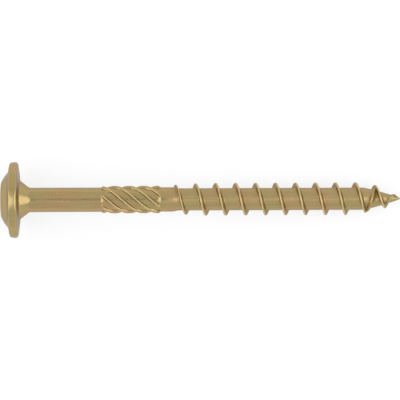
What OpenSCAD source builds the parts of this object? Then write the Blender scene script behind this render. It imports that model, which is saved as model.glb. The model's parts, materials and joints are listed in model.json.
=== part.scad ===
// Flange head timber screw in one piece, lying at rest on its rim and its thread.
// The origin is on the axis, in the plane of the seat under the flange. The point lies towards +X.
// The modules work along the screw's own axis: z = 0 is the seat, and z grows towards the point.

/* [Head] */
// Diameter across the flange
flange_d = 14; // [12.4:0.1:18]
// Thickness of the flange near its rim
flange_t = 1.67; // [1.4:0.01:2.2]
// Radius that rounds the rim on the crown's side
rim_r = 0.8; // [0.4:0.1:1.2]
// Slope of the flange's top, in degrees
flange_slope = 10; // [0:1:15]
// Diameter of the flat seat under the flange
seat_d = 9.2; // [8:0.1:11]
// Slope of the flange's underside from the seat to the rim, in degrees
seat_slope = 8; // [0:1:12]
// Height of the head above its seat
head_h = 3.4; // [3.2:0.05:5]
// Diameter of the crown where it rises from the flange
crown_d = 10.4; // [8.5:0.1:11.5]
// Diameter of the flat on top of the crown
crown_flat_d = 6.3; // [5.8:0.1:7]
// Radius of the crown's bulge between its flat and the flange
crown_r = 5.8; // [3:0.1:20]

/* [Socket] */
// Width across opposite lobes
socket_d = 5.6; // [5:0.05:5.7]
// Width across opposite ridges between the lobes
socket_ridge_d = 3.95; // [3.7:0.05:4.2]
// Radius of a lobe's end
lobe_r = 0.45; // [0.3:0.05:0.55]
// Depth of the upright walls
socket_depth = 2.3; // [1.5:0.1:2.6]
// Diameter of the conical bottom
socket_cone_d = 3.4; // [2:0.1:3.6]
// Slope of the conical bottom, in degrees
socket_cone_slope = 25; // [10:1:35]

/* [Shank] */
// Diameter of the collar cone at the seat
collar_d = 7.3; // [5:0.1:7.8]
// Length of the collar cone
collar_h = 1.8; // [1:0.05:4]
// Diameter of the plain shank
shank_d = 4.48; // [4.3:0.02:4.7]
// Length from the seat to the cutter
plain_len = 15; // [6:0.5:60]
// Length of the plain neck between the cutter and the thread
neck_len = 2; // [1:0.1:10]

/* [Cutter] */
// Diameter across the cutter's ribs
cutter_d = 5.05; // [4.8:0.05:5.8]
// Length of the cutter
cutter_len = 11; // [4:0.1:20]
// Diameter in the valleys between the ribs
valley_d = 4.14; // [3.9:0.02:4.28]
// Length over which the ribs rise and the valleys sink at each end
rib_rise_len = 0.4; // [0.2:0.1:1]
// Number of ribs
rib_count = 6; // [3:1:8]
// Length in which a rib winds once around the shank
rib_lead = 16; // [12:0.5:40]
// Width of a rib at its crest
rib_crest_w = 0.5; // [0.3:0.05:0.8]
// Width of a rib at its root
rib_root_w = 1; // [0.9:0.05:1.4]
// Direction of the first rib at the cutter's start, in degrees
rib_turn = 34.5; // [0:0.5:60]

/* [Thread] */
// Diameter across the thread's crests
thread_d = 6; // [5.4:0.05:6.6]
// Diameter of the core
core_d = 4.08; // [3.6:0.02:4.4]
// Length of the thread with the point
thread_len = 42; // [20:0.5:120]
// Distance from crest to crest
pitch = 3.67; // [2.5:0.01:5]
// Width of the crest
crest_w = 0.22; // [0.14:0.02:0.5]
// Slope of the flank towards the head, in degrees
head_flank_slope = 21; // [12:1:30]
// Slope of the flank towards the point, in degrees
point_flank_slope = 28; // [12:1:35]
// Direction of the crest at the thread's start, in degrees
thread_turn = 23; // [0:1:359]
// Length over which the thread rises from the neck, steeply at first
rise_len = 6.9; // [3:0.1:12]
// Length over which the neck narrows to the core
neck_taper_len = 1.3; // [0.5:0.1:3]

/* [Point] */
// Length of the core's taper
point_len = 6.75; // [5:0.05:12]
// Slope at which the core starts to narrow, as a share of the point's mean slope
point_entry_share = 0.75; // [0.4:0.05:0.9]
// Diameter of the blunt end
tip_d = 0.2; // [0.1:0.02:0.4]
// Length over which the thread's crest comes in to the point
crest_taper_len = 8; // [5:0.1:12]
// Distance from turn to turn of the counter rib, which winds the other way
counter_pitch = 3.25; // [2.6:0.05:5]
// Length of the counter rib
counter_len = 6; // [3:0.1:6.5]
// Height of the counter rib as a share of the thread's
counter_share = 0.62; // [0.4:0.02:0.8]
// Direction of the counter rib at its start, in degrees
counter_turn = 58; // [0:1:359]

/* [Hidden] */
steel_colour = "#ae9c68";
$fn = 96;
arc_steps = 8;
turn_steps = 30;
// How far a ridge's foot lies inside the core, as a share of the core's radius
bury = 0.07;
// Where the ridges end short of the point
ridge_stop = 0.4;
// Power of the thread's rise from the neck: the lower, the steeper at first
rise_power = 0.28;
// How far cutting bodies run past a face
overrun = 1;

flange_radius = flange_d / 2;
seat_rim_r = flange_t - rim_r;
underside_edge = flange_radius - seat_rim_r + seat_rim_r * sin(seat_slope);
rim_z = -seat_rim_r * cos(seat_slope) - (underside_edge - seat_d / 2) * tan(seat_slope);
shank_r = shank_d / 2;
valley_r = valley_d / 2;
thread_r = thread_d / 2;
tip_r = tip_d / 2;
cutter_end = plain_len + cutter_len;
thread_start = cutter_end + neck_len;
core_start = thread_start + neck_taper_len;
length = thread_start + thread_len;
point_start = length - point_len;
crest_taper_start = length - crest_taper_len;
ridge_start = thread_start - pitch / 4;
ridge_end = length - ridge_stop;

// Where the flange's sloping top leaves the rounded rim, and where it meets the crown
flange_edge = [
    flange_radius - rim_r + rim_r * sin(flange_slope),
    rim_z - rim_r * cos(flange_slope)
];
crown_foot = [
    crown_d / 2,
    flange_edge[1] - (flange_edge[0] - crown_d / 2) * tan(flange_slope)
];
crown_edge = [crown_flat_d / 2, -head_h];
point_root = [core_d / 2, point_start];
point_end = [tip_r, length];
point_slope = atan2(point_root[0] - point_end[0], point_len);
point_r = norm(point_end - point_root) / (2 * sin(point_slope * (1 - point_entry_share)));

// Centre of the arc of radius r that bulges outwards from p to q
function arc_centre(p, q, r) =
    let (half = norm(q - p) / 2, along = (q - p) / norm(q - p))
    (p + q) / 2 + sqrt(r * r - half * half) * [-along[1], along[0]];

function arc(centre, r, from, to, steps = arc_steps) = [
    for (i = [0:steps])
        let (a = from + (to - from) * i / steps)
        centre + r * [cos(a), sin(a)]
];

function bulge(p, q, r) =
    let (
        centre = arc_centre(p, q, r),
        from = p - centre,
        to = q - centre
    )
    arc(centre, r, atan2(from[1], from[0]), atan2(to[1], to[0]));

function turned(p, a) = [p[0] * cos(a) - p[1] * sin(a), p[0] * sin(a) + p[1] * cos(a)];

function mix(a, b, share) = a + (b - a) * max(0, min(1, share));

// Radius of the shank and core at z
function core_r(z) =
    let (centre = arc_centre(point_root, point_end, point_r))
    z < point_start
        ? mix(shank_r, core_d / 2, (z - thread_start) / neck_taper_len)
        : centre[0] + sqrt(point_r * point_r - (z - centre[1]) * (z - centre[1]));

// Radius of the thread's crest at z: it rises out of the neck and comes in to the point
function thread_crest(z) =
    let (
        risen = max(0, min(1, (z - ridge_start) / rise_len)) ^ rise_power,
        to_tip = max(0, (z - crest_taper_start) / crest_taper_len)
    )
    mix(core_r(z), mix(thread_r, tip_r, to_tip * to_tip), risen);

function counter_crest(z) = mix(core_r(z), thread_crest(z), counter_share);

// Tilt at which the floor touches the rim and a crest of radius r at z
function tilt_on(z, r) =
    let (across = z - rim_z, up = r - flange_radius + seat_rim_r)
    asin(seat_rim_r / norm([across, up])) - atan2(up, across);

// The crests that face the floor, and the tilt that leaves none of them below it
floor_crests = [
    for (k = [1:floor(thread_len / pitch)])
        let (z = thread_start + pitch * (k - thread_turn / 360))
        if (z < ridge_end) z
];
tilt = min([for (z = floor_crests) tilt_on(z, thread_crest(z))]);

// Ridge that winds around the axis, right-handed, with its crest at the given direction at z = from
module ridge(from, to, lead, direction, crest) {
    rings = ceil((to - from) / lead * turn_steps);
    points = [
        for (i = [0:rings])
            let (
                z = from + (to - from) * i / rings,
                a = direction + 360 * (z - from) / lead,
                height = crest(z) - core_r(z) * (1 - bury),
                half_top = crest_w / 2 * min(1, height / (thread_r - core_d / 2)),
                head_foot = z - half_top - height * tan(head_flank_slope),
                point_foot = z + half_top + height * tan(point_flank_slope)
            )
            for (p = [
                [core_r(head_foot) * (1 - bury), head_foot],
                [crest(z), z - half_top],
                [crest(z), z + half_top],
                [core_r(point_foot) * (1 - bury), point_foot]
            ])
            [p[0] * cos(a), p[0] * sin(a), p[1]]
    ];
    sides = [
        for (i = [0:rings - 1], k = [0:3])
            let (here = 4 * i, next = (k + 1) % 4)
            for (t = [
                [here + k, here + next, here + 4 + k],
                [here + next, here + 4 + next, here + 4 + k]
            ])
            t
    ];
    last = 4 * rings;
    ends = [[3, 2, 1, 0], [last, last + 1, last + 2, last + 3]];
    polyhedron(points, concat(sides, ends));
}

// Head, shank, core and point, turned from one outline
module blank() {
    rotate_extrude()
        polygon(concat(
            [[0, -head_h]],
            bulge(crown_edge, crown_foot, crown_r),
            arc([flange_radius - rim_r, rim_z], rim_r, -90 + flange_slope, 0),
            arc([flange_radius - seat_rim_r, rim_z], seat_rim_r, 90 / arc_steps, 90 - seat_slope, arc_steps - 1),
            [
                [seat_d / 2, 0],
                [collar_d / 2, 0],
                [shank_r, collar_h],
                [shank_r, plain_len],
                [valley_r, plain_len + rib_rise_len],
                [valley_r, cutter_end - rib_rise_len],
                [shank_r, cutter_end],
                [shank_r, thread_start],
                [core_d / 2, core_start]
            ],
            bulge(point_root, point_end, point_r),
            [[0, length]]
        ));
}

// Outline of the six-lobe socket: each lobe's arc runs into the arcs of the ridges beside it
module socket_outline() {
    lobe_centre = socket_d / 2 - lobe_r;
    ridge_tip = socket_ridge_d / 2;
    gap = lobe_centre * cos(30) - ridge_tip;
    ridge_r = (norm([lobe_centre * sin(30), gap]) ^ 2 - lobe_r ^ 2) / (2 * (gap + lobe_r));
    ridge_centre = ridge_tip + ridge_r;
    meet = atan2(ridge_centre * sin(30), ridge_centre * cos(30) - lobe_centre);
    lobe = arc([lobe_centre, 0], lobe_r, -meet, meet);
    ridge_arc = arc(turned([ridge_centre, 0], 30), ridge_r, 180 + meet, 240 - meet);
    inner_points = [for (i = [1:arc_steps - 1]) ridge_arc[i]];
    polygon([
        for (k = [0:5], p = concat(lobe, inner_points))
            turned(p, 60 * k)
    ]);
}

module socket() {
    cone_h = socket_cone_d / 2 * tan(socket_cone_slope);
    translate([0, 0, -head_h - overrun])
        linear_extrude(socket_depth + overrun)
            socket_outline();
    translate([0, 0, -head_h + socket_depth])
        cylinder(h = cone_h, d1 = socket_cone_d, d2 = 0);
}

// Ribs that ream the hole for the shank, sloped at both ends
module cutter() {
    root_r = valley_r * (1 - bury);
    end_r = (valley_r + shank_r) / 2;
    rib = [
        [root_r, -rib_root_w / 2],
        [cutter_d / 2, -rib_crest_w / 2],
        [cutter_d / 2, rib_crest_w / 2],
        [root_r, rib_root_w / 2]
    ];
    turns = cutter_len / rib_lead;
    // The sloped ends run on past the crests, so that no two faces lie on each other there
    slope = rib_rise_len / (cutter_d / 2 - end_r);
    past_crest = overrun * slope;
    translate([0, 0, plain_len])
        intersection() {
            rotate(rib_turn)
                linear_extrude(
                    cutter_len,
                    twist = -360 * turns,
                    slices = ceil(turns * turn_steps),
                    segments = rib_count * len(rib)
                )
                    polygon([
                        for (k = [0:rib_count - 1], p = rib)
                            turned(p, 360 * k / rib_count)
                    ]);
            rotate_extrude()
                polygon([
                    [0, 0],
                    [end_r, 0],
                    [cutter_d / 2 + overrun, rib_rise_len + past_crest],
                    [cutter_d / 2 + overrun, cutter_len - rib_rise_len - past_crest],
                    [end_r, cutter_len],
                    [0, cutter_len]
                ]);
        }
}

module thread() {
    ridge(ridge_start, ridge_end, pitch, thread_turn - 90, function(z) thread_crest(z));
}

// Rib that crosses the thread's last turns and cuts the wood's fibres
module counter_rib() {
    from = ridge_end - counter_len;
    mirror([0, 1, 0])
        ridge(from, ridge_end, counter_pitch, counter_turn, function(z) counter_crest(z));
}

module screw() {
    color(steel_colour)
        rotate([0, 90 + tilt, 0])
            difference() {
                union() {
                    blank();
                    cutter();
                    thread();
                    counter_rib();
                }
                socket();
            }
}

screw();
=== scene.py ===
"""Looks of a flange head wood screw: one headed, ribbed and thread-rolled piece of plated steel.

Sizes are in millimetres along the screw's own axis, where z = 0 is the seat under the flange and z grows
towards the point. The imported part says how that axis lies: the screw rests on its rim and its thread.
"""

import json
import logging
import math
from collections.abc import Callable, Sequence
from dataclasses import dataclass
from enum import Enum

import bmesh
import bpy
import numpy as np
from mathutils import Matrix, Vector


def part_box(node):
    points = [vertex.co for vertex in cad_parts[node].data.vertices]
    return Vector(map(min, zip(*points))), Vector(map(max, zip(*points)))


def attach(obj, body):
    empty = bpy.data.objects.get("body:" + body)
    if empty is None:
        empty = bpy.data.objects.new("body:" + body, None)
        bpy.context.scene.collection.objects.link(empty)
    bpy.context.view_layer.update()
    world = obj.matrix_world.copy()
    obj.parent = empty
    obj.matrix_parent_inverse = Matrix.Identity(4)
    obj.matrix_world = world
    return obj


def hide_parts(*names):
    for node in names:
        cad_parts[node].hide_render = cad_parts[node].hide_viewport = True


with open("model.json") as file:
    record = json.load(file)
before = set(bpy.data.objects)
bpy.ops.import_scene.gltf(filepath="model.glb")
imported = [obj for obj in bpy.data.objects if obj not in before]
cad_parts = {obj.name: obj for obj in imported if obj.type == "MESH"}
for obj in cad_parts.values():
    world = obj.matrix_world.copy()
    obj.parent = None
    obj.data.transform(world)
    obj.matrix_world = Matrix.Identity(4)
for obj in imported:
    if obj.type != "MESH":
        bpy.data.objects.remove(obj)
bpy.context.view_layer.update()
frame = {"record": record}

MM = 0.001
MM_PER_METRE = 1000
FULL_TURN = 360.0
NODE = "screw"
BODY = "root"
# Attribute that marks the paler crests: partly wear, partly a painted highlight
WEAR_AND_SHEEN = "wear_and_sheen"
ROLLED = "rolled"

# Points on every ring: a whole number of them on each rib and each lobe, and on each quarter turn
COLUMNS = 108
COLUMN_STEP = FULL_TURN / COLUMNS
# Points closer together than this are one point
WELD = 0.002
# Edges that turn by more than this, in degrees, are shaded sharp
SHARP_ANGLE = 50.0
# Part of its range from 0 to 1 that a noise mostly keeps to
NOISE_SPAN = (0.3, 0.7)

log = logging.getLogger("screw")


def linear(colour: str) -> tuple[float, float, float, float]:
    """Turns an sRGB hex colour into the linear colour that a shader takes.

    Args:
        colour: The colour as #rrggbb.

    Returns:
        Linear red, green and blue, with an alpha of 1.
    """
    shares = (int(colour[i:i + 2], 16) / 255 for i in (1, 3, 5))
    red, green, blue = (s / 12.92 if s <= 0.04045 else ((s + 0.055) / 1.055) ** 2.4 for s in shares)
    return red, green, blue, 1.0


def placed(axes: Sequence[Vector], place: Vector) -> Matrix:
    """Gives the matrix that turns an object to three axes and moves it to a place.

    Args:
        axes: Directions of the object's own x, y and z.
        place: Where its origin goes.

    Returns:
        The matrix.
    """
    return Matrix.Translation(place) @ Matrix(axes).transposed().to_4x4()


def add_node(
    tree: bpy.types.NodeTree,
    kind: str,
    inputs: dict[str | int, object] | None = None,
    **settings: object,
) -> bpy.types.Node:
    """Adds a node to a tree, with its settings and links.

    Args:
        tree: The node tree that takes the node.
        kind: Blender's name for the kind of node.
        inputs: For each input socket, by name or number, its value or the output that is linked to it.
        **settings: The node's own properties.

    Returns:
        The new node.
    """
    node = tree.nodes.new(kind)
    for name, value in settings.items():
        setattr(node, name, value)
    for name, value in (inputs or {}).items():
        if isinstance(value, bpy.types.NodeSocket):
            tree.links.new(value, node.inputs[name])
        else:
            node.inputs[name].default_value = value
    return node


def smooth_max(a: np.ndarray, b: np.ndarray, reach: float) -> np.ndarray:
    """Gives the greater of two heights, with the corner between them filled to a curve.

    Args:
        a: One surface's heights.
        b: The other's.
        reach: How near in height the two come before the curve starts.

    Returns:
        The joint surface's heights.
    """
    near = np.maximum(reach - np.abs(a - b), 0) / reach
    return np.maximum(a, b) + near * near * reach / 4


def smooth_min(a: np.ndarray, b: np.ndarray, reach: float) -> np.ndarray:
    """Gives the lesser of two heights, with the corner between them rounded off, as smooth_max does."""
    return -smooth_max(-a, -b, reach)


def ease(share: np.ndarray | float) -> np.ndarray | float:
    """Gives a share from 0 to 1 that starts and ends gently."""
    held = np.clip(share, 0, 1)
    return held * held * (3 - 2 * held)


@dataclass(frozen=True)
class Corner:
    """Corner of a turned outline, with the radius that rounds it."""

    radius: float
    z: float
    fillet: float = 0.0

    @property
    def point(self) -> Vector:
        """The corner as a point of the outline."""
        return Vector((self.radius, self.z))


def rounded(corners: Sequence[Corner], steps: int = 7) -> list[Vector]:
    """Draws an outline through corners, each one rounded by its own arc.

    Args:
        corners: The corners in order.
        steps: Number of straight steps in an arc.

    Returns:
        The outline's points, from the first corner to the last.
    """
    outline = [corners[0].point]
    for before, corner, after in zip(corners, corners[1:], corners[2:]):
        back = (before.point - corner.point).normalized()
        ahead = (after.point - corner.point).normalized()
        if not corner.fillet:
            outline.append(corner.point)
            continue
        half = back.angle(ahead) / 2
        centre = corner.point + (back + ahead).normalized() * corner.fillet / math.sin(half)
        reach = corner.fillet / math.tan(half)
        start = corner.point + back * reach - centre
        end = corner.point + ahead * reach - centre
        sweep = start.angle(end)
        for i in range(steps + 1):
            share = i / steps
            turned = start * math.sin((1 - share) * sweep) + end * math.sin(share * sweep)
            outline.append(centre + turned / math.sin(sweep))
    outline.append(corners[-1].point)
    return outline


class RingLoft:
    """Skin drawn ring by ring along the axis: each ring is extruded from the last one's edge."""

    def __init__(self, name: str, radius: float, z: float) -> None:
        """Adds the first ring and opens it for editing.

        Args:
            name: Name of the new object.
            radius: Radius of the ring.
            z: Its place on the axis.
        """
        bpy.ops.object.select_all(action="DESELECT")
        bpy.ops.mesh.primitive_circle_add(vertices=COLUMNS, radius=radius, fill_type="NOTHING")
        self.body = bpy.context.object
        self.body.name = name
        self.first = z
        self.z = z
        self.radius = radius
        bpy.ops.object.mode_set(mode="EDIT")
        bpy.ops.transform.translate(value=(0, 0, z))

    def select_first(self, radius: float) -> None:
        """Takes the first ring's edge in hand again, to go on from its other side.

        Args:
            radius: Radius of the first ring.
        """
        skin = bmesh.from_edit_mesh(self.body.data)
        for point in skin.verts:
            reach = math.hypot(point.co.x, point.co.y)
            point.select = abs(point.co.z - self.first) < WELD and abs(reach - radius) < WELD
        skin.select_flush_mode()
        bmesh.update_edit_mesh(self.body.data)
        self.z = self.first
        self.radius = radius

    def ring(self, z: float, scale: float = 1.0, turn: float = 0.0) -> None:
        """Extrudes the next ring.

        Args:
            z: The ring's place on the axis.
            scale: Its size against the last ring's.
            turn: How far it turns about the axis, in degrees, right-handed towards the point.
        """
        centre = (0, 0, z)
        bpy.ops.mesh.extrude_region_move(TRANSFORM_OT_translate={"value": (0, 0, z - self.z)})
        if scale != 1:
            bpy.ops.transform.resize(value=(scale, scale, 1), center_override=centre)
        if turn:
            bpy.ops.transform.rotate(value=-math.radians(turn), orient_axis="Z", center_override=centre)
        self.z = z
        self.radius *= scale

    def follow(self, outline: Sequence[Vector]) -> None:
        """Extrudes a ring to each point of a turned outline, past its first point.

        Args:
            outline: Radius and place on the axis of each ring.
        """
        for point in outline[1:]:
            self.ring(point.y, point.x / self.radius)

    def shape(self, place: Callable[[float], tuple[float, float]]) -> None:
        """Moves the points of the last ring to an outline of their own.

        Args:
            place: Gives a point's x and y for its direction in degrees.
        """
        skin = bmesh.from_edit_mesh(self.body.data)
        for point in skin.verts:
            if point.select:
                point.co.xy = place(math.degrees(math.atan2(point.co.y, point.co.x)))
        bmesh.update_edit_mesh(self.body.data)

    def close(self) -> bpy.types.Object:
        """Ends the editing and gives the object."""
        bpy.ops.object.mode_set(mode="OBJECT")
        return self.body


@dataclass
class Socket:
    """Six-lobe socket, with a chamfered mouth and a conical bottom."""

    lobe_d: float = 5.6
    ridge_d: float = 3.95
    lobe_r: float = 0.45
    depth: float = 2.3
    cone_d: float = 3.4
    cone_slope: float = 25.0
    chamfer: float = 0.07
    lobes: int = 6
    wall_rings: int = 4

    def place(self, direction: float) -> tuple[float, float]:
        """Spreads the points of a ring evenly along the socket's outline.

        Args:
            direction: Direction of the point on a round ring, in degrees.

        Returns:
            The point's x and y on the outline, where each lobe's arc runs into the ridges beside it.
        """
        half_lobe = math.pi / self.lobes
        lobe_centre = self.lobe_d / 2 - self.lobe_r
        gap = lobe_centre * math.cos(half_lobe) - self.ridge_d / 2
        reach = math.hypot(lobe_centre * math.sin(half_lobe), gap)
        ridge_r = (reach ** 2 - self.lobe_r ** 2) / (2 * (gap + self.lobe_r))
        ridge_centre = self.ridge_d / 2 + ridge_r
        meet = math.atan2(
            ridge_centre * math.sin(half_lobe),
            ridge_centre * math.cos(half_lobe) - lobe_centre,
        )
        lobe_len = self.lobe_r * meet
        ridge_len = ridge_r * (meet - half_lobe)
        lobe = round(math.radians(direction) / (2 * half_lobe))
        past = math.radians(direction) - lobe * 2 * half_lobe
        along = abs(past) / half_lobe * (lobe_len + ridge_len)
        if along <= lobe_len:
            angle = along / self.lobe_r
            point = Vector((lobe_centre + self.lobe_r * math.cos(angle), self.lobe_r * math.sin(angle)))
        else:
            angle = half_lobe + math.pi + (lobe_len + ridge_len - along) / ridge_r
            centre = ridge_centre * Vector((math.cos(half_lobe), math.sin(half_lobe)))
            point = centre + ridge_r * Vector((math.cos(angle), math.sin(angle)))
        if past < 0:
            point.y = -point.y
        point.rotate(Matrix.Rotation(lobe * 2 * half_lobe, 2))
        return point.x, point.y

    def build(self, loft: RingLoft) -> None:
        """Sinks the socket from the ring around its mouth.

        Args:
            loft: The skin, with that ring in hand.
        """
        mouth = loft.z
        floor = mouth + self.depth
        apex = floor + self.cone_d / 2 * math.tan(math.radians(self.cone_slope))
        chamfer_scale = 1 + self.chamfer / (self.lobe_d / 2)
        loft.ring(mouth)
        loft.shape(self.place)
        bpy.ops.transform.resize(value=(chamfer_scale, chamfer_scale, 1), center_override=(0, 0, mouth))
        loft.ring(mouth + self.chamfer, 1 / chamfer_scale)
        for i in range(1, self.wall_rings + 1):
            loft.ring(mouth + self.chamfer + (self.depth - self.chamfer) * i / self.wall_rings)
        cone_r = self.cone_d / 2
        loft.ring(floor)
        loft.shape(lambda direction: (
            cone_r * math.cos(math.radians(direction)),
            cone_r * math.sin(math.radians(direction)),
        ))
        loft.ring(apex, 0.0)


@dataclass
class Head:
    """Flange with a rounded rim, raised crown, flat seat and collar cone."""

    flange_d: float = 14.0
    # Ends of the rim on the axis, before its edges are rounded
    rim_z: tuple[float, float] = (-1.76, -0.3)
    rim_r: float = 0.5
    # How far the rim leans towards the crown, in degrees
    rim_draft: float = 7.0
    seat_rim_r: float = 0.55
    # What the rounding takes off the rim's widest edge
    rim_lift: float = 0.062
    flange_slope: float = 10.0
    seat_d: float = 9.2
    height: float = 3.4
    crown_d: float = 10.4
    crown_flat_d: float = 6.3
    crown_r: float = 5.8
    crown_edge_r: float = 0.5
    crown_foot_r: float = 1.0
    collar_d: float = 7.3
    collar_h: float = 1.8
    collar_foot_r: float = 0.12
    collar_end_r: float = 0.9
    land: float = 0.08

    @property
    def mouth_r(self) -> float:
        """Radius of the ring where the crown's flat meets the land around the socket."""
        return self.crown_flat_d / 2 - self.land

    def crown(self, foot: Vector) -> list[Corner]:
        """Draws the crown's bulge.

        Args:
            foot: Where the crown meets the flange.

        Returns:
            The corners from the flat's edge to the foot.
        """
        edge = Vector((self.crown_flat_d / 2, -self.height))
        chord = foot - edge
        half = chord.length / 2
        out = Vector((chord.y, -chord.x)).normalized()
        sag = self.crown_r - math.sqrt(self.crown_r ** 2 - half ** 2)
        fillets = (self.crown_edge_r, self.crown_r, self.crown_foot_r)
        points = (edge, (edge + foot) / 2 + out * sag, foot)
        return [Corner(p.x, p.y, fillet) for p, fillet in zip(points, fillets)]

    def outline(self, shank_r: float, end: float) -> list[Vector]:
        """Draws the head's outline from the socket's land to the plain shank.

        Args:
            shank_r: Radius of the shank.
            end: Where the outline ends on the axis.

        Returns:
            The outline's points.
        """
        upper, lower = self.rim_z
        rim = self.flange_d / 2 + self.rim_lift
        upper_r = rim - (lower - upper) * math.tan(math.radians(self.rim_draft))
        foot_r = self.crown_d / 2
        foot = Vector((foot_r, upper - (rim - foot_r) * math.tan(math.radians(self.flange_slope))))
        return rounded([
            Corner(self.mouth_r, -self.height),
            *self.crown(foot),
            Corner(upper_r, upper, self.rim_r),
            Corner(rim, lower, self.seat_rim_r),
            Corner(self.seat_d / 2, 0, self.seat_rim_r),
            Corner(self.collar_d / 2, 0, self.collar_foot_r),
            Corner(shank_r, self.collar_h, self.collar_end_r),
            Corner(shank_r, end),
        ])


@dataclass
class Shank:
    """Plain shank and the slanted ribs that ream the hole for it, with rolled valleys between them."""

    radius: float = 2.24
    start: float = 4.0
    plain_len: float = 15.0
    cutter_len: float = 11.0
    cutter_d: float = 5.05
    valley_d: float = 4.14
    rib_count: int = 6
    rib_lead: float = 16.0
    rib_crest_w: float = 0.5
    rib_foot_w: float = 1.07
    rib_rise_len: float = 0.45
    rib_turn: float = 34.5
    rib_round: float = 0.2
    rib_foot_round: float = 0.05
    neck_end: float = 26.4
    rings: int = 34
    rise_rings: int = 5
    # How far the ribs' crests are made paler, against the thread: partly wear, partly a painted highlight
    rub_and_sheen: float = 0.9
    # Width of the plain bands that keep the shading of the ribs' ends off the shank
    edge: float = 0.06
    # Columns from a rib's middle to half way to the next, and the angles that they are moved to
    column_angles: tuple[float, ...] = (0.0, 3.0, 5.6, 8.4, 11.3, 12.2, 13.1, 13.9, 21.0, 30.0)

    def rib_direction(self, z: float) -> float:
        """Gives the direction of the first rib, in degrees, at a place on the axis."""
        return self.rib_turn + FULL_TURN * (z - self.plain_len) / self.rib_lead

    def past_rib(self, direction: np.ndarray | float, z: np.ndarray | float) -> np.ndarray | float:
        """Measures the angle from the middle of the nearest rib.

        Args:
            direction: Directions of the points, in degrees.
            z: Their places on the axis.

        Returns:
            The angles in degrees.
        """
        step = FULL_TURN / self.rib_count
        return (direction - self.rib_direction(z) + step / 2) % step - step / 2

    def rib_radius(self, past: float) -> float:
        """Gives the radius of the ribbed section.

        Args:
            past: Angle from a rib's middle, in degrees.

        Returns:
            The radius there.
        """
        crest_r = self.cutter_d / 2
        valley_r = self.valley_d / 2
        beside = math.radians(abs(past)) * crest_r - self.rib_crest_w / 2
        fall = (crest_r - valley_r) / ((self.rib_foot_w - self.rib_crest_w) / 2)
        wall = smooth_min(crest_r, crest_r - beside * fall, self.rib_round)
        return float(smooth_max(valley_r, wall, self.rib_foot_round))

    def rib_point(self, direction: float, z: float, before: float, share: float) -> tuple[float, float]:
        """Moves a ring's point to the ribbed section, with more columns on the ribs' walls.

        Args:
            direction: Direction of the point, in degrees.
            z: The ring's place on the axis.
            before: Share of the full height on the ring before, whose columns this one starts from.
            share: Share of the full height on this ring.

        Returns:
            The point's x and y.
        """
        even = np.arange(len(self.column_angles)) * COLUMN_STEP
        moved = np.array(self.column_angles) - even
        past = float(self.past_rib(direction, z))
        column = np.interp(abs(past), even + moved * before, even)
        beside = math.copysign(float(np.interp(column, even, even + moved * share)), past)
        radius = self.radius + (self.rib_radius(beside) - self.radius) * share
        angle = math.radians(direction - past + beside)
        return radius * math.cos(angle), radius * math.sin(angle)

    def ribbed(self, loft: RingLoft, before: float, share: float) -> None:
        """Raises the ribs and sinks the valleys on the last ring.

        Args:
            loft: The skin.
            before: Share of the full height on the ring before.
            share: Share of the full height on this ring.
        """
        loft.shape(lambda direction: self.rib_point(direction, loft.z, before, share))

    def build(self, loft: RingLoft) -> None:
        """Draws the shank from the collar to the neck.

        Args:
            loft: The skin, with the ring at the collar's end in hand.
        """
        start = self.plain_len
        end = start + self.cutter_len
        turn_rate = FULL_TURN / self.rib_lead
        offset = self.rib_turn % COLUMN_STEP
        loft.ring(start - self.edge, 1.0, offset)
        loft.ring(start)
        shares = [float(ease(i / self.rise_rings)) for i in range(self.rise_rings + 1)]
        step = self.rib_rise_len / self.rise_rings
        for before, share in zip(shares, shares[1:]):
            loft.ring(loft.z + step, 1.0, turn_rate * step)
            self.ribbed(loft, before, share)
        inner = (self.cutter_len - 2 * self.rib_rise_len) / self.rings
        for _ in range(self.rings):
            loft.ring(loft.z + inner, 1.0, turn_rate * inner)
        for before, share in zip(shares[::-1], shares[-2::-1]):
            loft.ring(loft.z + step, 1.0, turn_rate * step)
            self.ribbed(loft, before, share)
        loft.ring(end + self.edge)
        turned = offset + turn_rate * (end - start)
        loft.ring(self.neck_end, 1.0, -(turned % COLUMN_STEP))

    def wear_and_sheen(self, z: np.ndarray, radius: np.ndarray) -> np.ndarray:
        """Tells how far the ribs are worn and painted with a highlight: most on their crests, none in the
        valleys.

        Args:
            z: Places of the points on the axis.
            radius: Their distances from the axis.

        Returns:
            The wear, which is 0 outside the cutter.
        """
        valley_r = self.valley_d / 2
        raised = np.clip((radius - valley_r) / (self.cutter_d / 2 - valley_r), 0, 1)
        on_cutter = (z > self.plain_len) & (z < self.plain_len + self.cutter_len)
        # The wear and painted highlight, which is 0 outside the cutter.
        return np.where(on_cutter, raised, 0) * self.rub_and_sheen


class Hand(Enum):
    """Way in which a ridge winds around the axis."""

    RIGHT = 1
    LEFT = -1


@dataclass(frozen=True)
class Helix:
    """Line on which a ridge's crest winds around the axis."""

    hand: Hand
    lead: float
    start: float
    turn: float

    def past_crest(self, direction: np.ndarray, z: np.ndarray) -> np.ndarray:
        """Measures along the axis from the nearest turn of the crest.

        Args:
            direction: Directions of the points, in degrees.
            z: Their places on the axis.

        Returns:
            The distances, less than zero towards the head.
        """
        turns = (self.hand.value * direction - self.turn) / FULL_TURN
        past = z - self.start - self.lead * turns
        return (past + self.lead / 2) % self.lead - self.lead / 2


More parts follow.
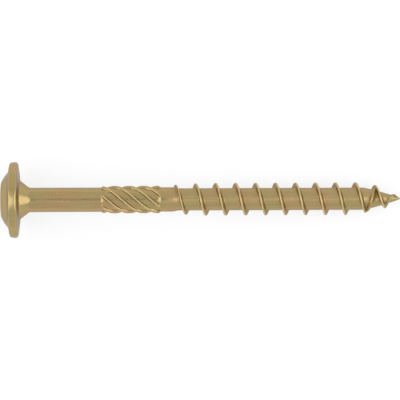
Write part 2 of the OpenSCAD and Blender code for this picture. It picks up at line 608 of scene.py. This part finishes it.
@dataclass(frozen=True)
class Flank:
    """Side of a ridge: its slope in degrees from upright, and the radius of the fillet at its root."""

    slope: float
    fillet: float
    # The fillet takes up no more than this share of the ridge's height
    fillet_share: float = 0.8

    def height(self, beside: np.ndarray, full: np.ndarray) -> np.ndarray:
        """Gives the height of the flank over the core.

        Args:
            beside: Distances along the axis from the crest's edge.
            full: Heights of the crest.

        Returns:
            The heights, which go on past the crest at the flank's slope.
        """
        sine = math.sin(math.radians(self.slope))
        cosine = math.cos(math.radians(self.slope))
        fillet = np.minimum(self.fillet, self.fillet_share * full)
        foot = (fillet + (full - fillet) * sine) / cosine
        arc = fillet - np.sqrt(np.maximum(fillet ** 2 - (foot - beside) ** 2, 0))
        lower = np.where(beside < foot, arc, 0)
        return np.where(beside < foot - fillet * cosine, full - beside * cosine / sine, lower)


@dataclass
class Thread:
    """Coarse thread on its core, with the tapered point and the counter rib on it."""

    start: float = 28.0
    length: float = 42.0
    thread_d: float = 6.0
    core_d: float = 4.08
    neck_taper_len: float = 1.3
    pitch: float = 3.67
    crest_w: float = 0.28
    head_flank: Flank = Flank(12.0, 0.14)
    point_flank: Flank = Flank(22.0, 0.12)
    counter_flank: Flank = Flank(40.0, 0.6)
    turn: float = 20.0
    # Run-in of the crest: the lower the power, the sooner it is near its full height
    rise_len: float = 6.9
    rise_power: float = 0.28
    point_len: float = 6.75
    point_entry_slope: float = 12.0
    tip_d: float = 0.2
    crest_taper_len: float = 8.0
    # Small dent in the crest near the point: its depth, place and length
    crest_dip: float = 0.3
    crest_dip_z: float = 63.5
    crest_dip_len: float = 0.45
    counter_pitch: float = 3.25
    counter_len: float = 6.0
    # Height of the counter rib as a share of the thread's
    counter_share: float = 0.62
    counter_turn: float = 58.0
    counter_rise_len: float = 0.3
    # How far before the tip both ridges end
    ridge_stop: float = 0.4
    crest_round: float = 0.12
    # The power at which the two ridges are added up: a high one gives the greater, with the corner filled
    crossing_power: int = 4
    # Rows of one turn on the ridge and on the core, and where those on the ridge end on each side
    ridge_rows: int = 28
    core_rows: int = 18
    ridge_from: float = -0.72
    ridge_to: float = 0.9
    # Power that draws the rows on the ridge together at its crest
    row_spread: float = 1.6

    @property
    def end(self) -> float:
        """Place of the point's tip on the axis."""
        return self.start + self.length

    @property
    def ridge_start(self) -> float:
        """Where the crest starts to rise from the neck, a quarter turn before the thread's start."""
        return self.start - self.pitch / 4

    def core_radius(self, z: np.ndarray, shank_r: float) -> np.ndarray:
        """Gives the radius of the neck, the core and the point's bulging taper.

        Args:
            z: Places on the axis.
            shank_r: Radius of the shank before the neck.

        Returns:
            The radii there.
        """
        root = self.core_d / 2
        tip = self.tip_d / 2
        point_start = self.end - self.point_len
        narrowed = ease((z - self.start) / self.neck_taper_len)
        neck = shank_r + (root - shank_r) * narrowed
        slope = math.atan2(root - tip, self.point_len)
        chord = math.hypot(root - tip, self.point_len)
        entry = math.radians(self.point_entry_slope)
        bend = chord / (2 * math.sin(slope - entry))
        centre_r = root - bend * math.cos(entry)
        centre_z = point_start - bend * math.sin(entry)
        inside = np.clip(z, point_start, self.end)
        point = centre_r + np.sqrt(bend ** 2 - (inside - centre_z) ** 2)
        round_end = np.sqrt(np.maximum(tip ** 2 - np.maximum(z - self.end + tip, 0) ** 2, 0))
        point = np.where(z > self.end - tip, np.minimum(point, round_end), point)
        return np.where(z < point_start, neck, point)

    def crest_radius(self, z: np.ndarray, shank_r: float) -> np.ndarray:
        """Gives the radius of the thread's crest, which rises from the neck and comes in to the point.

        Args:
            z: Places of the crest on the axis.
            shank_r: Radius of the shank before the neck.

        Returns:
            The radii there.
        """
        risen = np.clip((z - self.ridge_start) / self.rise_len, 0, 1) ** self.rise_power
        to_tip = np.clip((z - self.end + self.crest_taper_len) / self.crest_taper_len, 0, 1)
        full = self.thread_d / 2 + (self.tip_d / 2 - self.thread_d / 2) * to_tip ** 2
        full = full - self.crest_dip * np.exp(-((z - self.crest_dip_z) / self.crest_dip_len) ** 2)
        core = self.core_radius(z, shank_r)
        return core + (full - core) * risen

    def ridge(self, past: np.ndarray, height: np.ndarray, before: Flank, after: Flank) -> np.ndarray:
        """Gives the height of a ridge with a narrow, rounded crest and two flanks.

        Args:
            past: Distances along the axis from the crest.
            height: Heights of the crest over the core.
            before: The flank towards the head.
            after: The flank towards the point.

        Returns:
            The heights of the ridge over the core.
        """
        full_height = (self.thread_d - self.core_d) / 2
        half_top = self.crest_w / 2 * np.clip(height / full_height, 0, 1)
        beside = np.abs(past) - half_top
        flank = np.where(past < 0, before.height(beside, height), after.height(beside, height))
        return np.maximum(smooth_min(height, flank, self.crest_round), 0)

    def surface(self, direction: np.ndarray, z: np.ndarray, shank_r: float) -> tuple[np.ndarray, np.ndarray]:
        """Gives the threaded surface.

        Args:
            direction: Directions of the points, in degrees.
            z: Their places on the axis.
            shank_r: Radius of the shank before the neck.

        Returns:
            The radii of the points, and how near each is to the thread's crest, from 0 to 1.
        """
        core = self.core_radius(z, shank_r)
        stop = self.end - self.ridge_stop
        helix = Helix(Hand.RIGHT, self.pitch, self.start, self.turn)
        past = helix.past_crest(direction, z)
        crest_z = z - past
        full = self.crest_radius(crest_z, shank_r) - self.core_radius(crest_z, shank_r)
        full = np.where((crest_z > self.ridge_start) & (crest_z < stop), full, 0)
        thread = self.ridge(past, full, self.head_flank, self.point_flank)
        counter_start = stop - self.counter_len
        counter = Helix(Hand.LEFT, self.counter_pitch, counter_start, self.counter_turn)
        counter_past = counter.past_crest(direction, z)
        counter_z = z - counter_past
        rise = ease((counter_z - counter_start) / self.counter_rise_len)
        counter_full = self.crest_radius(counter_z, shank_r) - self.core_radius(counter_z, shank_r)
        counter_full = np.where(counter_z < stop, counter_full * self.counter_share * rise, 0)
        rib = self.ridge(counter_past, counter_full, self.counter_flank, self.counter_flank)
        power = self.crossing_power
        radius = core + (thread ** power + rib ** power) ** (1 / power)
        radius = np.where(z > self.end - WELD, 0, radius)
        return radius, np.clip(thread / np.maximum(full, WELD), 0, 1)

    def row_places(self) -> list[float]:
        """Spaces the rows of one turn, close together on the ridge.

        Returns:
            Distances of the rows from the crest, along the axis.
        """
        half = self.pitch / 2
        spread = np.linspace(0, 1, self.ridge_rows // 2 + 1) ** self.row_spread
        before = np.linspace(-half, self.ridge_from, self.core_rows // 2 + 1)
        after = np.linspace(self.ridge_to, half, self.core_rows // 2 + 1)
        rows = (*before[:-1], *(spread[:0:-1] * self.ridge_from), *(spread * self.ridge_to), *after[1:])
        return [float(x) for x in rows]

    def wound_sheet(self, shank_r: float, start: float) -> bpy.types.Object:
        """Winds a sheet around the axis with its rows along the thread, from the neck to the tip.

        Args:
            shank_r: Radius of the sheet.
            start: Where the sheet starts on the axis.

        Returns:
            The sheet, with a ring of points at its start and one point at the tip.
        """
        crest = self.start - self.pitch * self.turn / FULL_TURN
        turns_before = math.ceil((crest + self.pitch - start) / self.pitch)
        places = self.row_places()
        first = crest + places[0] - turns_before * self.pitch
        turns = math.ceil((self.end - first) / self.pitch) + 1

        bpy.ops.object.select_all(action="DESELECT")
        bpy.ops.mesh.primitive_plane_add(size=1)
        sheet = bpy.context.object
        sheet.name = "thread"
        bpy.ops.object.mode_set(mode="EDIT")
        bpy.ops.mesh.merge(type="CENTER")
        bpy.ops.transform.translate(value=(shank_r, 0, first))
        for here, after in zip(places, places[1:]):
            bpy.ops.mesh.extrude_region_move(TRANSFORM_OT_translate={"value": (0, 0, after - here)})
        bpy.ops.object.mode_set(mode="OBJECT")
        screw = sheet.modifiers.new("turns", "SCREW")
        screw.axis = "Z"
        screw.angle = math.tau
        screw.screw_offset = self.pitch
        screw.iterations = turns
        screw.steps = COLUMNS
        screw.render_steps = COLUMNS
        bpy.ops.object.modifier_apply(modifier=screw.name)

        bpy.ops.object.mode_set(mode="EDIT")
        # What lies before the start is flattened to a ring there, and what lies past the tip to a point
        flattened = ((0, start, (1, 1, 0), start), (self.end, math.inf, (0, 0, 0), self.end))
        for low, high, scale, centre in flattened:
            skin = bmesh.from_edit_mesh(sheet.data)
            for point in skin.verts:
                point.select = low <= point.co.z <= high
            skin.select_flush_mode()
            bmesh.update_edit_mesh(sheet.data)
            bpy.ops.transform.resize(value=scale, center_override=(0, 0, centre))
        bpy.ops.mesh.select_all(action="SELECT")
        bpy.ops.mesh.remove_doubles(threshold=WELD)
        bpy.ops.object.mode_set(mode="OBJECT")
        return sheet

    def build(self, shank_r: float, start: float) -> bpy.types.Object:
        """Rolls the thread into a wound sheet.

        Args:
            shank_r: Radius of the shank.
            start: Where the sheet starts on the axis.

        Returns:
            The threaded end of the screw.
        """
        sheet = self.wound_sheet(shank_r, start)
        places = np.empty(len(sheet.data.vertices) * 3)
        sheet.data.vertices.foreach_get("co", places)
        places = places.reshape(-1, 3)
        direction = np.arctan2(places[:, 1], places[:, 0])
        radius, _ = self.surface(np.degrees(direction), places[:, 2], shank_r)
        places[:, 0] = radius * np.cos(direction)
        places[:, 1] = radius * np.sin(direction)
        sheet.data.vertices.foreach_set("co", places.ravel())
        sheet.data.update()
        return sheet


@dataclass(frozen=True)
class PlatedSteel:
    """Zinc plated steel, yellow passivated.

    To the eye it is a satin metal, brass-like, that drifts from olive to rose over a few millimetres, with
    fine drawn lines along the axis, a duller threaded end and paler crests, partly rubbed and partly a
    painted highlight.
    """

    olive: str = "#a99664"
    gold: str = "#aa9464"
    rose: str = "#af9265"
    # Values of the noise at which the colour is olive, gold and rose
    hue_places: tuple[float, float, float] = (0.36, 0.5, 0.64)
    # Paler colour of the crests: partly rubbed-off plating, partly a painted highlight
    worn_and_sheen: str = "#cdb482"
    # The passivation's film scatters a little of the light
    metallic: float = 0.9
    # At a grazing angle the zinc greys instead of mirroring the white table in full
    edge: str = "#dad6d8"
    roughness: tuple[float, float] = (0.24, 0.28)
    # What rolling the thread adds to the roughness
    rolled_roughness: float = 0.12
    cloud_mm: float = 5.0
    cloud_detail: float = 2.0
    streak_mm: float = 0.35
    streak_detail: float = 2.0
    streak_stretch: float = 40.0
    # How dark and how light the drawn lines make the colour
    streak_shades: tuple[float, float] = (0.93, 1.05)
    grain_mm: float = 0.16
    grain_detail: float = 3.0
    grain_depth_mm: float = 0.0003
    # Level at which the paler colour of wear and painted highlight starts to show, and how much the grain
    # adds to it
    wear_and_sheen_from: float = 0.82
    wear_and_sheen_grain: float = 0.4

    def material(self, tilt: float) -> bpy.types.Material:
        """Makes the finish.

        Args:
            tilt: Angle by which the screw's axis dips towards the point, in radians.

        Returns:
            The material.
        """
        finish = bpy.data.materials.new("yellow_passivated_zinc")
        finish.use_nodes = True
        tree = finish.node_tree
        shader = tree.nodes["Principled BSDF"]
        place = add_node(tree, "ShaderNodeTexCoord").outputs["Object"]
        along = add_node(tree, "ShaderNodeMapping", {
            "Vector": place,
            "Rotation": (0, -tilt, 0),
            "Scale": (1 / self.streak_stretch, 1, 1),
        }).outputs["Vector"]
        # The passivation's colour drifts over a few millimetres
        cloud = add_node(tree, "ShaderNodeTexNoise", {
            "Vector": place,
            "Scale": MM_PER_METRE / self.cloud_mm,
            "Detail": self.cloud_detail,
        })
        hue = add_node(tree, "ShaderNodeValToRGB", {"Fac": cloud.outputs["Fac"]})
        hue.color_ramp.elements.new(self.hue_places[1])
        hues = (self.olive, self.gold, self.rose)
        for element, value, colour in zip(hue.color_ramp.elements, self.hue_places, hues):
            element.position = value
            element.color = linear(colour)
        # Fine lines along the axis, left by drawing and rolling, drawn coarser than real so that they show
        streak = add_node(tree, "ShaderNodeTexNoise", {
            "Vector": along,
            "Scale": MM_PER_METRE / self.streak_mm,
            "Detail": self.streak_detail,
        })
        shade = add_node(tree, "ShaderNodeMapRange", {
            "Value": streak.outputs["Fac"],
            "From Min": NOISE_SPAN[0],
            "From Max": NOISE_SPAN[1],
            "To Min": self.streak_shades[0],
            "To Max": self.streak_shades[1],
        })
        streaked = add_node(tree, "ShaderNodeVectorMath", {
            0: hue.outputs["Color"],
            1: shade.outputs["Result"],
        }, operation="MULTIPLY")
        # Grain of the plating, drawn coarser than real so that it shows
        grain = add_node(tree, "ShaderNodeTexNoise", {
            "Vector": place,
            "Scale": MM_PER_METRE / self.grain_mm,
            "Detail": self.grain_detail,
        })
        # Crests are made paler in grains: partly plating rubbed off in the box, partly a painted highlight
        crest = add_node(tree, "ShaderNodeAttribute", attribute_name=WEAR_AND_SHEEN)
        rubbed_and_sheen = add_node(tree, "ShaderNodeMath", {
            0: grain.outputs["Fac"],
            1: self.wear_and_sheen_grain,
            2: crest.outputs["Fac"],
        }, operation="MULTIPLY_ADD")
        half_grain = self.wear_and_sheen_grain / 2
        worn_and_sheen = add_node(tree, "ShaderNodeMapRange", {
            "Value": rubbed_and_sheen.outputs[0],
            "From Min": self.wear_and_sheen_from + half_grain,
            "From Max": 1 + half_grain,
        })
        colour = add_node(tree, "ShaderNodeMix", {
            "Factor": worn_and_sheen.outputs["Result"],
            6: streaked.outputs[0],
            7: linear(self.worn_and_sheen),
        }, data_type="RGBA")
        tree.links.new(colour.outputs[2], shader.inputs["Base Color"])
        # The grain blurs what the metal mirrors
        blur = add_node(tree, "ShaderNodeMapRange", {
            "Value": grain.outputs["Fac"],
            "From Min": NOISE_SPAN[0],
            "From Max": NOISE_SPAN[1],
            "To Min": self.roughness[0],
            "To Max": self.roughness[1],
        })
        bump = add_node(tree, "ShaderNodeBump", {
            "Height": grain.outputs["Fac"],
            "Strength": 1.0,
            "Distance": self.grain_depth_mm * MM,
        })
        # Rolling leaves the threaded end duller than the drawn shank
        rolled = add_node(tree, "ShaderNodeAttribute", attribute_name=ROLLED)
        dull = add_node(tree, "ShaderNodeMath", {
            0: rolled.outputs["Fac"],
            1: self.rolled_roughness,
            2: blur.outputs["Result"],
        }, operation="MULTIPLY_ADD")
        tree.links.new(dull.outputs[0], shader.inputs["Roughness"])
        tree.links.new(bump.outputs["Normal"], shader.inputs["Normal"])
        shader.inputs["Metallic"].default_value = self.metallic
        shader.inputs["Specular Tint"].default_value = linear(self.edge)
        return finish


@dataclass
class Screw:
    """The whole screw: head, shank and thread as one closed skin."""

    head: Head
    socket: Socket
    shank: Shank
    thread: Thread
    finish: PlatedSteel
    axis: Vector

    @property
    def tilt(self) -> float:
        """Angle by which the axis dips towards the point, in radians."""
        return math.atan2(-self.axis.z, self.axis.x)

    def build(self) -> bpy.types.Object:
        """Models the screw along its own axis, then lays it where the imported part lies.

        Returns:
            The finished piece.
        """
        loft = RingLoft("plated_screw", self.head.mouth_r, -self.head.height)
        loft.follow(self.head.outline(self.shank.radius, self.shank.start))
        log.info("head turned")
        self.shank.build(loft)
        log.info("shank drawn and cutter rolled")
        loft.select_first(self.head.mouth_r)
        self.socket.build(loft)
        body = loft.close()
        log.info("socket sunk")
        thread = self.thread.build(self.shank.radius, self.shank.neck_end)
        log.info("thread rolled")
        return self.laid(self.joined(body, thread))

    def joined(self, body: bpy.types.Object, thread: bpy.types.Object) -> bpy.types.Object:
        """Welds the threaded end to the body.

        Args:
            body: Head and shank.
            thread: Threaded end.

        Returns:
            One closed skin.
        """
        bpy.ops.object.select_all(action="DESELECT")
        thread.select_set(True)
        body.select_set(True)
        bpy.context.view_layer.objects.active = body
        bpy.ops.object.join()
        bpy.ops.object.mode_set(mode="EDIT")
        bpy.ops.mesh.select_all(action="SELECT")
        bpy.ops.mesh.remove_doubles(threshold=WELD)
        bpy.ops.mesh.normals_make_consistent(inside=False)
        bpy.ops.object.mode_set(mode="OBJECT")
        self.mark(body)
        return body

    def mark(self, body: bpy.types.Object) -> None:
        """Marks the crests of the ribs and the thread, which are worn and painted with a highlight, and the
        duller threaded end.

        Args:
            body: The closed skin, along its own axis.
        """
        places = np.empty(len(body.data.vertices) * 3)
        body.data.vertices.foreach_get("co", places)
        x, y, z = places.reshape(-1, 3).T
        direction = np.degrees(np.arctan2(y, x))
        _, on_thread = self.thread.surface(direction, z, self.shank.radius)
        on_ribs = self.shank.wear_and_sheen(z, np.hypot(x, y))
        # Paler crests: partly wear, partly a painted highlight
        wear_and_sheen = np.where(z > self.shank.neck_end, on_thread, on_ribs)
        rolled = ease((z - self.shank.neck_end) / self.thread.neck_taper_len)
        for name, values in ((WEAR_AND_SHEEN, wear_and_sheen), (ROLLED, rolled)):
            marks = body.data.attributes.new(name, "FLOAT", "POINT")
            marks.data.foreach_set("value", values.astype(np.float32))

    def laid(self, body: bpy.types.Object) -> bpy.types.Object:
        """Turns the screw from its own axis to where it rests, in metres, and dresses it.

        Args:
            body: The closed skin.

        Returns:
            The same object, placed in its mesh.
        """
        body.rotation_euler = (0, math.pi / 2 + self.tilt, 0)
        body.scale = (MM, MM, MM)
        bpy.ops.object.transform_apply(location=True, rotation=True, scale=True)
        bpy.ops.object.shade_smooth_by_angle(angle=math.radians(SHARP_ANGLE))
        body.data.materials.clear()
        body.data.materials.append(self.finish.material(self.tilt))
        return body


@dataclass
class Studio:
    """White table under a light tent, with the camera looking down on the screw."""

    axis: Vector
    floor_z: float
    # Place on the axis at the view's middle, and the view's width, shift across the axis and roll
    view_middle: float = 33.17
    view_width: float = 73.56
    view_shift: float = -0.128
    view_roll: float = 0.22
    distance: float = 600.0
    floor_size: float = 3000.0
    floor_colour: str = "#f6f6f6"
    # How far the table is plain white to the camera, and in what the metal mirrors
    floor_glow: float = 0.75
    mirrored_glow: float = 0.2
    tent_level: float = 0.95
    # Opening for the camera: its level, and half its angle and the softness of its edge in degrees
    opening_level: float = 0.25
    opening_angle: float = 11.0
    opening_blur: float = 2.0
    # Tints of the tent on the near side of the table, overhead and on the far side
    tints: tuple[str, str, str] = ("#fafcff", "#f0f4ff", "#ffffff")
    softbox_level: float = 1.35
    # From the camera's direction to a softbox's edges, and to the line that meets it squarely, in degrees
    softbox_angles: tuple[float, float] = (7.0, 86.0)
    softbox_facing: float = 68.0
    # Height of a softbox as an angle, and its lean about the screw's axis, in degrees
    softbox_height: float = 36.0
    softbox_lean: float = 3.5
    softbox_distance: float = 1200.0

    @property
    def view_axes(self) -> tuple[Vector, Vector, Vector]:
        """Lays the view square to the screw's axis.

        Returns:
            The directions to the right, up and back to the camera.
        """
        right = self.axis.normalized()
        up = Vector((0, 1, 0))
        return right, up, right.cross(up)

    def camera(self) -> None:
        """Sets the camera square to the screw's axis."""
        right, up, back = self.view_axes
        roll = Matrix.Rotation(math.radians(-self.view_roll), 3, back)
        target = (self.axis * self.view_middle + Vector((0, self.view_shift, 0))) * MM
        lens = bpy.data.cameras.new("camera")
        lens.lens = lens.sensor_width * self.distance / self.view_width
        camera = bpy.data.objects.new("camera", lens)
        camera.matrix_world = placed((roll @ right, roll @ up, back), target + back * self.distance * MM)
        bpy.context.scene.collection.objects.link(camera)
        bpy.context.scene.camera = camera

    def floor(self) -> None:
        """Lays the white table under the screw."""
        bpy.ops.object.select_all(action="DESELECT")
        bpy.ops.mesh.primitive_plane_add(size=self.floor_size * MM, location=(0, 0, self.floor_z))
        table = bpy.context.object
        table.name = "table"
        paint = bpy.data.materials.new("white_table")
        paint.use_nodes = True
        tree = paint.node_tree
        tree.nodes.clear()
        lit = add_node(tree, "ShaderNodeBsdfDiffuse", {"Color": linear(self.floor_colour)})
        glow = add_node(tree, "ShaderNodeEmission", {"Color": (1, 1, 1, 1), "Strength": 1.0})
        ray = add_node(tree, "ShaderNodeLightPath")
        mirrored = add_node(tree, "ShaderNodeMath", {
            0: ray.outputs["Is Glossy Ray"],
            1: ray.outputs["Is Transmission Ray"],
        }, operation="MAXIMUM")
        mirrored_share = add_node(tree, "ShaderNodeMath", {
            0: mirrored.outputs[0],
            1: self.mirrored_glow,
        }, operation="MULTIPLY")
        share = add_node(tree, "ShaderNodeMath", {
            0: ray.outputs["Is Camera Ray"],
            1: self.floor_glow,
            2: mirrored_share.outputs[0],
        }, operation="MULTIPLY_ADD")
        mixed = add_node(tree, "ShaderNodeMixShader", {
            0: share.outputs[0],
            1: lit.outputs[0],
            2: glow.outputs[0],
        })
        add_node(tree, "ShaderNodeOutputMaterial", {"Surface": mixed.outputs[0]})
        table.data.materials.append(paint)

    def tent(self) -> None:
        """Lights the scene all round, as a light tent does that has an opening for the camera."""
        world = bpy.data.worlds.new("tent")
        world.use_nodes = True
        bpy.context.scene.world = world
        tree = world.node_tree
        _, _, towards_camera = self.view_axes
        direction = add_node(tree, "ShaderNodeTexCoord").outputs["Generated"]
        facing = add_node(tree, "ShaderNodeVectorMath", {
            0: direction,
            1: tuple(towards_camera),
        }, operation="DOT_PRODUCT")
        level = add_node(tree, "ShaderNodeMapRange", {
            "Value": facing.outputs["Value"],
            "From Min": math.cos(math.radians(self.opening_angle + self.opening_blur)),
            "From Max": math.cos(math.radians(self.opening_angle - self.opening_blur)),
            "To Min": self.tent_level,
            "To Max": self.opening_level,
        }, interpolation_type="SMOOTHSTEP")
        sides = add_node(tree, "ShaderNodeSeparateXYZ", {"Vector": direction})
        across = add_node(tree, "ShaderNodeMapRange", {"Value": sides.outputs["Y"], "From Min": -1.0})
        tint = add_node(tree, "ShaderNodeValToRGB", {"Fac": across.outputs["Result"]})
        tint.color_ramp.elements.new(0.5)
        for element, colour in zip(tint.color_ramp.elements, self.tints):
            element.color = linear(colour)
        background = tree.nodes["Background"]
        tree.links.new(tint.outputs["Color"], background.inputs["Color"])
        tree.links.new(level.outputs["Result"], background.inputs["Strength"])

    def softboxes(self) -> None:
        """Hangs a softbox on each side of the camera, over the head and over the point."""
        right, up, back = self.view_axes
        lean = Matrix.Rotation(math.radians(self.softbox_lean), 3, right)
        up, back = lean @ up, lean @ back
        middle = self.axis * self.view_middle * MM
        facing = math.radians(self.softbox_facing)
        inner, outer = (math.tan(math.radians(angle) - facing) for angle in self.softbox_angles)
        distance = self.softbox_distance * MM
        width = (outer - inner) * distance
        height = 2 * math.tan(math.radians(self.softbox_height) / 2) * distance
        for name, side in (("head_softbox", -1), ("point_softbox", 1)):
            outward = back * math.cos(facing) + right * math.sin(facing) * side
            across = up.cross(outward)
            lamp = bpy.data.lights.new(name, "AREA")
            lamp.shape = "RECTANGLE"
            lamp.size = width
            lamp.size_y = height
            lamp.energy = self.softbox_level * math.pi * width * height
            box = bpy.data.objects.new(name, lamp)
            centre = middle + (outward + across * side * (inner + outer) / 2) * distance
            box.matrix_world = placed((across, up, outward), centre)
            bpy.context.scene.collection.objects.link(box)

    def build(self) -> None:
        """Sets up the floor, the light and the camera."""
        self.floor()
        self.tent()
        self.softboxes()
        self.camera()
        bpy.context.scene.view_settings.view_transform = "Standard"


def main() -> None:
    """Builds the screw and the studio."""
    logging.basicConfig(level=logging.INFO, format="%(name)s: %(message)s")
    seat = next(m for m in frame["record"]["mounts"] if m["name"] == "head_seat")
    axis = Vector(seat["axis"])
    low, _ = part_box(NODE)
    screw = Screw(Head(), Socket(), Shank(), Thread(), PlatedSteel(), axis)
    piece = screw.build()
    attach(piece, BODY)
    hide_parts(NODE)
    log.info("%s: %d faces", piece.name, len(piece.data.polygons))
    Studio(axis, low.z).build()


if __name__ == "__main__":
    main()
